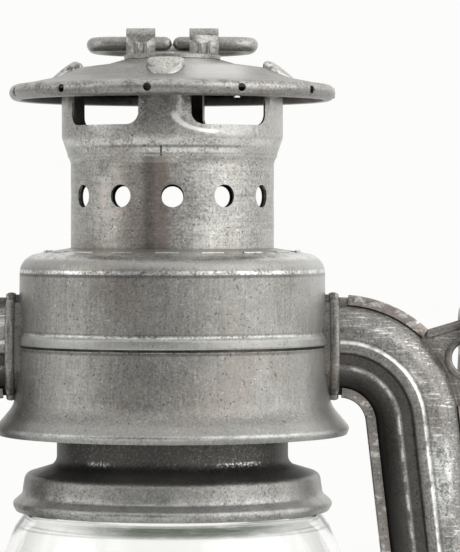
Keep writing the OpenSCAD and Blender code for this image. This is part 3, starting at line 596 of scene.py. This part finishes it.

# Globe: clear blown glass, cut off and fire-polished at both mouths.
# It stands in the globe plate. Under the cap it is a little swollen and has a painted dark greenish
# band, the dark cap refracted in the thick glass.
BAND_Z, LINE_Z = 163.3 * mm, 162.3 * mm
SWELL, SWELL_FROM, SWELL_RISE, SWELL_TO, SWELL_FALL = 0.9 * mm, 155.5, 6.5, 165.2, 1.5
glass = Finish("blown_glass")
x, z = glass.axis("X"), glass.axis("Z")
ripple = glass.noise(5 * mm, 2, 0.5, (1, 1, 0.12)).between(0.15, 0.5)
# Painted refraction of the dark cap: a dark greenish band and a thin dark line under it, darkest
# near the middle.
cap_refraction = z.near(BAND_Z, 0.85 * mm, 0.3 * mm) * (ripple * 0.4 + 0.6)
cap_refraction = cap_refraction * (x.near(3 * mm, 9 * mm, 20 * mm) * 0.9 + 0.1)
line = z.near(LINE_Z, 0.06 * mm, 0.2 * mm) * 0.6
mouth = cap_refraction.math("MAXIMUM", line)
glass.coat(base_color=glass.blend(mouth, (1.0, 1.0, 0.995), (0.16, 0.18, 0.15)),
           roughness=0.0, transmission_weight=1.0, ior=1.46)
globe = dress("globe", glass.material)
for vertex in globe.data.vertices:
    spread, level = Vector((vertex.co.x, vertex.co.y)), vertex.co.z / mm
    rising = min(1.0, max(0.0, (level - SWELL_FROM) / SWELL_RISE))
    falling = min(1.0, max(0.0, (SWELL_TO - level) / SWELL_FALL))
    spread += spread.normalized() * SWELL * (rising * falling)
    vertex.co.x, vertex.co.y = spread

# Globe cap: the spun plate over the glass, with the neck that slides in the drum.
# Both are darker than the drum, and the neck is scraped bright where it leaves the plate.
CAP_Z = 172.2 * mm
metal = Zinc("cap_zinc", 0.075, 0.36, 0.25, rough=0.42)
x, z, front = metal.axis("X"), metal.axis("Z"), front_of(metal)
neck = z.between(CAP_Z + 1.8 * mm, CAP_Z + 3.2 * mm)
scraped = x.near(-14.9 * mm, 1.0 * mm, 1.6 * mm) + x.near(13.5 * mm, 2.6 * mm, 3 * mm)
lit = x.near(-4 * mm, 5 * mm, 7 * mm) * 0.25 + x.between(19 * mm, 27 * mm) * 0.3
metal.tint(lit * front, (0.55, 0.55, 0.53))
# The neck, under the drum, is darkened: partly soot, partly painted shade.
metal.stain_and_shade(neck * 0.72)
metal.tint(neck * metal.grain.between(0.52, 0.72) * 0.3, (0.4, 0.4, 0.39))
scraped = z.near(CAP_Z + 3.9 * mm, 0.15 * mm, 0.5 * mm) * scraped * front
metal.wear_and_highlight(scraped * metal.grain.between(0.42, 0.62) * 0.8, 2.2)
# Painted reflection of the pale floor: the cap's lip is lightened.
metal.wear_and_highlight(z.near(CAP_Z - 4.4 * mm, 1.2 * mm, 1.5 * mm) * 0.3, 1.6)
metal.tint(z.near(CAP_Z - 4.2 * mm, 0.5 * mm, 0.6 * mm) * 0.35, (0.42, 0.42, 0.41))
cap_zinc = metal.done()
second(dress("globe_cap", cap_zinc), soot, lambda p, n: n.z < -0.6 and p.z > CAP_Z - 2 * mm)

# Chimney: a seamed tube with a row of holes, and the collar with the smoke windows.
# The tube is marked by fine turning lines, the seam is brown, and both are sooty inside.
HOLE_X, HOLE_Z = -11.2 * mm, 230 * mm
WINDOW_X, WINDOW_Z, WINDOW_W, WINDOW_H = 8.95 * mm, 247 * mm, 8.2 * mm, 3.6 * mm
CREASE_Z, POST_X, POST_FOOT, POST_TOP = 240.3 * mm, -2.5 * mm, 243 * mm, 252 * mm


def apart(wide, high):
    """Distance between two points that lie so far across and so far up from each other."""
    return (wide.math("POWER", 2.0) + high.math("POWER", 2.0)).math("SQRT")


metal = Zinc("chimney_zinc", 0.15, 0.53, 0.4, (18, 18, 1), 0.45, 0.36, 0.42)
x, z, front = metal.axis("X"), metal.axis("Z"), front_of(metal)
metal.stain_and_shade(x.near(-4.6 * mm, 0.4 * mm, 1.8 * mm) * front * 0.5)
metal.tint(x.near(-2.2 * mm, 0.2 * mm, 2.2 * mm) * front * 0.7, (0.24, 0.19, 0.17))
halo = apart(x - HOLE_X, z - HOLE_Z).near(3.0 * mm, 0.3 * mm, 1.0 * mm)
halo = halo * (1.0 - x.between(-11 * mm, -9.3 * mm)) * front
metal.tint(halo * metal.mottle.between(0.35, 0.6) * 0.5, (0.46, 0.39, 0.36))
smudge = x.near(-13.4 * mm, 0.8 * mm, 1.8 * mm) * z.near(236 * mm, 0.6 * mm, 1.8 * mm) * front
metal.stain_and_shade(smudge * metal.mottle.between(0.35, 0.6) * 0.5)
chimney_zinc = metal.done()
metal = Zinc("collar_zinc", 0.15, 0.55, 0.3, rough=0.36)
x, z, front = metal.axis("X"), metal.axis("Z"), front_of(metal)
# Painted highlight: a bright arc round the right window's lower corner.
corner_highlight = apart((x - WINDOW_X) * (1 / WINDOW_W), (z - WINDOW_Z) * (1 / WINDOW_H))
corner_highlight = corner_highlight.near(1.04, 0.04, 0.1) * (1.0 - z.between(246.3 * mm, 247.6 * mm))
corner_highlight = corner_highlight * (1.0 - x.between(7.5 * mm, 10.5 * mm)) * front
post = z.near(248.4 * mm, 2.6 * mm, 2.4 * mm) * x.near(POST_X, 2.0 * mm, 1.6 * mm) * front
metal.tint(post * 0.3, (0.10, 0.10, 0.10))
# Painted highlights along the pressed lips beside the front post.
post_lip_highlights = x.near(-6.3 * mm, 0.4 * mm, 0.7 * mm) + x.near(2.2 * mm, 0.8 * mm, 0.7 * mm)
metal.wear_and_highlight(z.between(245 * mm, 247 * mm) * post_lip_highlights * front * 0.6, 1.5)
# Painted highlight along the bulge above the crease.
metal.wear_and_highlight(z.near(241.2 * mm, 0.3 * mm, 0.8 * mm) * 0.3, 1.7)
metal.tint(corner_highlight * (metal.mottle * 0.6 + 0.45), (0.95, 0.95, 0.94))
# Painted light on the right side.
metal.tint(x.between(6 * mm, 12 * mm) * front * 0.2, (0.7, 0.7, 0.69))
# Painted shade in the crease, painted highlight on the lip below it, and painted shade in the
# seam's slit.
crease_shade = z.near(CREASE_Z, 0.1 * mm, 0.35 * mm) * x.near(0.0, 11 * mm, 6 * mm)
metal.stain_and_shade(crease_shade * front * 0.4)
crease_lip_highlight = z.near(CREASE_Z - 0.8 * mm, 0.2 * mm, 0.5 * mm) * x.near(3 * mm, 6 * mm, 7 * mm)
metal.wear_and_highlight(crease_lip_highlight * front * 0.5, 1.6)
slit = x.near(-2.3 * mm, 0.1 * mm, 0.25 * mm) * z.near(239.4 * mm, 0.8 * mm, 0.5 * mm)
metal.stain_and_shade(slit * front * 0.9)
collar_zinc = metal.done()
bare_edge = Zinc("bare_edge", 0.22, 0.50, 0.5, rough=0.45).done()
second(dress("chimney_tube", chimney_zinc), soot, lambda p, n: outward(p, n) < -0.5)
collar = dress("chimney_collar", collar_zinc)
second(collar, soot, lambda p, n: outward(p, n) < -0.5)
second(collar, bare_edge, lambda p, n: abs(outward(p, n)) < 0.5 and POST_FOOT < p.z < POST_TOP)

# Collar solder: a soft fillet that fills the step under the collar's foot.
# It was run round the tube and wiped, so it carries the tube's own colour.
FILLET = [(20.9, 236.9), (21.07, 236.9), (21.14, 237.4), (21.32, 237.9), (21.56, 238.4),
          (21.78, 238.9), (21.5, 238.95), (20.9, 238.0)]
FILLET_SIDES = 96
turns = [2 * math.pi * k / FILLET_SIDES for k in range(FILLET_SIDES)]
rings = [[Vector((r * math.cos(a), r * math.sin(a), h)) * mm for r, h in FILLET] for a in turns]
solid("collar_solder", rings, chimney_zinc, "chimney_collar", True)

# Collar tabs: the round ends of the collar's four posts, bent over on the hood.
# They are hammered down, so each is a half disc that rises towards its fold.
TABS, TAB_STEPS, TAB_TURN, TAB_ARC = 4, 16, math.radians(-4), math.radians(86)
TAB_IN, TAB_OUT, TAB_HALF, TAB_RISE, TAB_SUNK = 18.9 * mm, 25.3 * mm, 3.8 * mm, 1.9 * mm, 0.4 * mm
TAB_SHAPE = ((0, 0.0), (0.08, 0.6), (0.18, 0.94), (0.3, 1.0), (0.5, 0.86), (0.75, 0.52),
             (0.95, 0.2), (1, 0.0))
TAB_FULL = 0.4  # the power of the cosine by which a tab falls off towards its sides
HOOD_R, HOOD_Z, HOOD_FALL = 19.1 * mm, 256.9 * mm, 0.4


def hood_level(spread):
    """Height of the hood's upper side at a distance from the axis."""
    return HOOD_Z - (spread - HOOD_R) * HOOD_FALL


for number in range(TABS):
    turn = Matrix.Rotation(TAB_TURN + number * 2 * math.pi / TABS, 4, "Z")
    rings = []
    for k in range(TAB_STEPS + 1):
        a = TAB_ARC * (2 * k / TAB_STEPS - 1)
        end = TAB_IN + (TAB_OUT - TAB_IN) * math.cos(a)
        rise = [(TAB_IN, hood_level(TAB_IN) - TAB_SUNK)]
        for share, height in TAB_SHAPE:
            spread = TAB_IN + (end - TAB_IN) * share
            lift = TAB_RISE * height * math.cos(a) ** TAB_FULL
            rise.append((spread, hood_level(spread) + lift))
        rise.append((end, hood_level(end) - TAB_SUNK))
        rings.append([turn @ Vector((TAB_HALF * math.sin(a), -spread, h)) for spread, h in rise])
    solid(f"collar_tab_{number + 1}", rings, bright_zinc, "chimney_collar")

# Hood: a spun cover with a rolled and drained edge, held by the collar's four tabs.
# It is pale outside and black with soot underneath.
HOOD_EDGE, SOOT_R = 252.6 * mm, 31.6 * mm
metal = Zinc("hood_zinc", 0.12, 0.36, 0.3, (14, 14, 1), 0.3, 0.40)
x, z, front = metal.axis("X"), metal.axis("Z"), front_of(metal, -14 * mm, -4 * mm)
metal.wear_and_highlight(z.near(HOOD_EDGE, 0.3 * mm, 0.7 * mm) * 0.35, 1.9)
# Painted highlight on the slope right of the front, painted shade on its left.
slope = z.between(252.8 * mm, 254 * mm) * front
metal.tint(x.near(9 * mm, 3 * mm, 6 * mm) * slope * 0.5, (0.80, 0.80, 0.78))
metal.tint(x.near(-9 * mm, 6 * mm, 7 * mm) * slope * 0.15, (0.10, 0.10, 0.10))
hood_zinc = metal.done()
second(dress("hood", hood_zinc), soot, lambda p, n: n.z < 0.0, SOOT_R)

# Drain lips: the burr around each hole in the rolled edge, left by the punch.
# One thin ring of the hood's own zinc is set round the edge as often as there are holes.
ROLL_Z, ROLL_R = 251.7 * mm, 33.5 * mm
DRAINS, DRAIN_R, DRAIN_TURN, BURR_R = 11, 0.95 * mm, math.radians(-98.6), 0.16 * mm
tree, given = tree_of("drain_lips", Count="Int", Radius="Float", Hole="Float", Wire="Float",
                      Material="Material")
spots = socket_of(tree, "GeometryNodeMeshCircle",
                  {"Vertices": given["Count"], "Radius": given["Radius"]})
place = socket_of(tree, "GeometryNodeInputPosition")
turn = socket_of(tree, "FunctionNodeAlignRotationToVector", {"Vector": place}, {"axis": "Z"})
hole = socket_of(tree, "GeometryNodeCurvePrimitiveCircle",
                 {"Resolution": 20, "Radius": given["Hole"]})
rod = socket_of(tree, "GeometryNodeCurvePrimitiveCircle",
                {"Resolution": 8, "Radius": given["Wire"]})
shape = socket_of(tree, "GeometryNodeCurveToMesh", {"Curve": hole, "Profile Curve": rod})
finish_tree(tree, spots, turn, shape, given["Material"])
shift = Matrix.Translation((0, 0, ROLL_Z)) @ Matrix.Rotation(DRAIN_TURN, 4, "Z")
grown("drain_lips", tree, "hood", shift, Count=DRAINS, Radius=ROLL_R, Hole=DRAIN_R, Wire=BURR_R,
      Material=hood_zinc)

# Ring strap: a domed plate soldered on the hood, with two clips bent over the ring's wire.
# It is cut from one piece of zinc-coated sheet, and the clips are ribbed.
strap_zinc = Zinc("strap_zinc", 0.16, 0.52, 0.2, rough=0.36).done()
dress("ring_strap", strap_zinc)

# Lift ring: one length of zinc-coated wire, bent to a flat loop.
# It turns in the two clips, and its rounded ends butt between them.
RING_Z, WIRE_R = 261.9 * mm, 1.5 * mm
HALF_W, CORNER, DEPTH, HALF_GAP = 16.35 * mm, 4 * mm, 26 * mm, 1.6 * mm
half = [Vector((HALF_GAP, 0))]
half += [Vector((HALF_W - CORNER, CORNER)) + CORNER * Vector((math.cos(a), math.sin(a)))
         for a in (math.radians(-90 + 10 * i) for i in range(10))]
half += [HALF_W * Vector((math.cos(a), math.sin(a))) + Vector((0, DEPTH - HALF_W))
         for a in (math.radians(6 * i) for i in range(16))]
path = [Vector((p.x, p.y, RING_Z)) for p in half]
path += [Vector((-p.x, p.y, RING_Z)) for p in reversed(half[:-1])]
rings = bar_rings(path, Vector((0, 0, 1)), WIRE_R, WIRE_R, 24)
ring = solid("lift_ring_wire", rings, wire_zinc, "lift_ring")
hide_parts("lift_ring")

# Bail: the carrying handle, one length of wire with an eye at each end.
# It hangs down behind the globe.
dress("bail", wire_zinc)

# Studio: a pale floor in a white room, whose light comes from the right and the left.
# The photographer's side is dim, which draws the dark band on the metal.
WHITE, ROOM_WHITE = (0.975, 0.975, 0.96, 1), (1, 0.995, 0.98, 1)
FLOOR_HALF, AIM = 4, Vector((0, 0, 0.2))
DIM_SIDE, BRIGHT_SIDE, EVEN = Vector((-0.36, -0.93, -0.1)).normalized(), (0.3, 0.12, 0.25), 0.92
DIM = {"From Min": 0.62, "From Max": 0.99, "To Min": 1.0, "To Max": 0.16}
floor = bpy.data.objects.new("floor", bpy.data.meshes.new("floor"))
form = bmesh.new()
bmesh.ops.create_grid(form, x_segments=1, y_segments=1, size=FLOOR_HALF)
form.to_mesh(floor.data)
form.free()
paper = Finish("floor_paper")
paper.coat(base_color=(0.86, 0.86, 0.85, 1), roughness=0.9)
ray = {name: paper.node("ShaderNodeLightPath", output=f"Is {name} Ray")
       for name in ("Camera", "Glossy", "Transmission")}
shown = ray["Camera"].math("MAXIMUM", ray["Glossy"]).math("MAXIMUM", ray["Transmission"])
distance = paper.node("ShaderNodeVectorMath", {"operation": "LENGTH"}, {0: paper.place}, "Value")
glow = paper.node("ShaderNodeEmission", None, {"Color": WHITE})
surface = Value(paper, paper.shader.outputs[0])
away = distance.between(0.15, 0.34)
mixed = paper.node("ShaderNodeMixShader", None, {0: shown * away, 1: surface, 2: glow})
paper.set(paper.tree.nodes["Material Output"].inputs["Surface"], mixed)
floor.data.materials.append(paper.material)
bpy.context.scene.collection.objects.link(floor)

world = bpy.data.worlds.new("studio")
bpy.context.scene.world = world
world.use_nodes = True
tree = world.node_tree
tree.nodes.clear()
way = new_node(tree, "ShaderNodeTexCoord").outputs["Generated"]
rays = new_node(tree, "ShaderNodeLightPath").outputs
seen = socket_of(tree, "ShaderNodeMath", {0: rays["Is Camera Ray"], 1: rays["Is Transmission Ray"]},
                 {"operation": "MAXIMUM"})


def along(side):
    """How far the light's way lies along the direction of a side."""
    settings = {"operation": "DOT_PRODUCT"}
    return new_node(tree, "ShaderNodeVectorMath", settings, {0: way, 1: side}).outputs["Value"]


dim = socket_of(tree, "ShaderNodeMapRange", {"Value": along(DIM_SIDE), **DIM},
                {"interpolation_type": "SMOOTHSTEP"})
level = socket_of(tree, "ShaderNodeMath", {0: along(BRIGHT_SIDE), 1: EVEN}, {"operation": "ADD"})
level = socket_of(tree, "ShaderNodeMath", {0: level, 1: dim}, {"operation": "MULTIPLY"})
room = socket_of(tree, "ShaderNodeBackground", {"Color": ROOM_WHITE, "Strength": level})
white = socket_of(tree, "ShaderNodeBackground", {"Color": WHITE})
mix = socket_of(tree, "ShaderNodeMixShader", {0: seen, 1: room, 2: white})
new_node(tree, "ShaderNodeOutputWorld", None, {"Surface": mix})

for name, azimuth, elevation, size, power in (("key", 58, 22, 1.3, 5.4),
                                              ("fill", -75, 18, 0.7, 1.6)):
    lamp = bpy.data.objects.new(name, bpy.data.lights.new(name, "AREA"))
    lamp.data.shape = "DISK"
    lamp.data.size = size
    lamp.data.energy = power
    a, e = math.radians(azimuth), math.radians(elevation)
    side = Vector((math.sin(a) * math.cos(e), -math.cos(a) * math.cos(e), math.sin(e)))
    lamp.location = AIM + side
    lamp.rotation_euler = (-side).to_track_quat("-Z", "Y").to_euler()
    bpy.context.scene.collection.objects.link(lamp)

bpy.context.scene.view_settings.view_transform = "Standard"
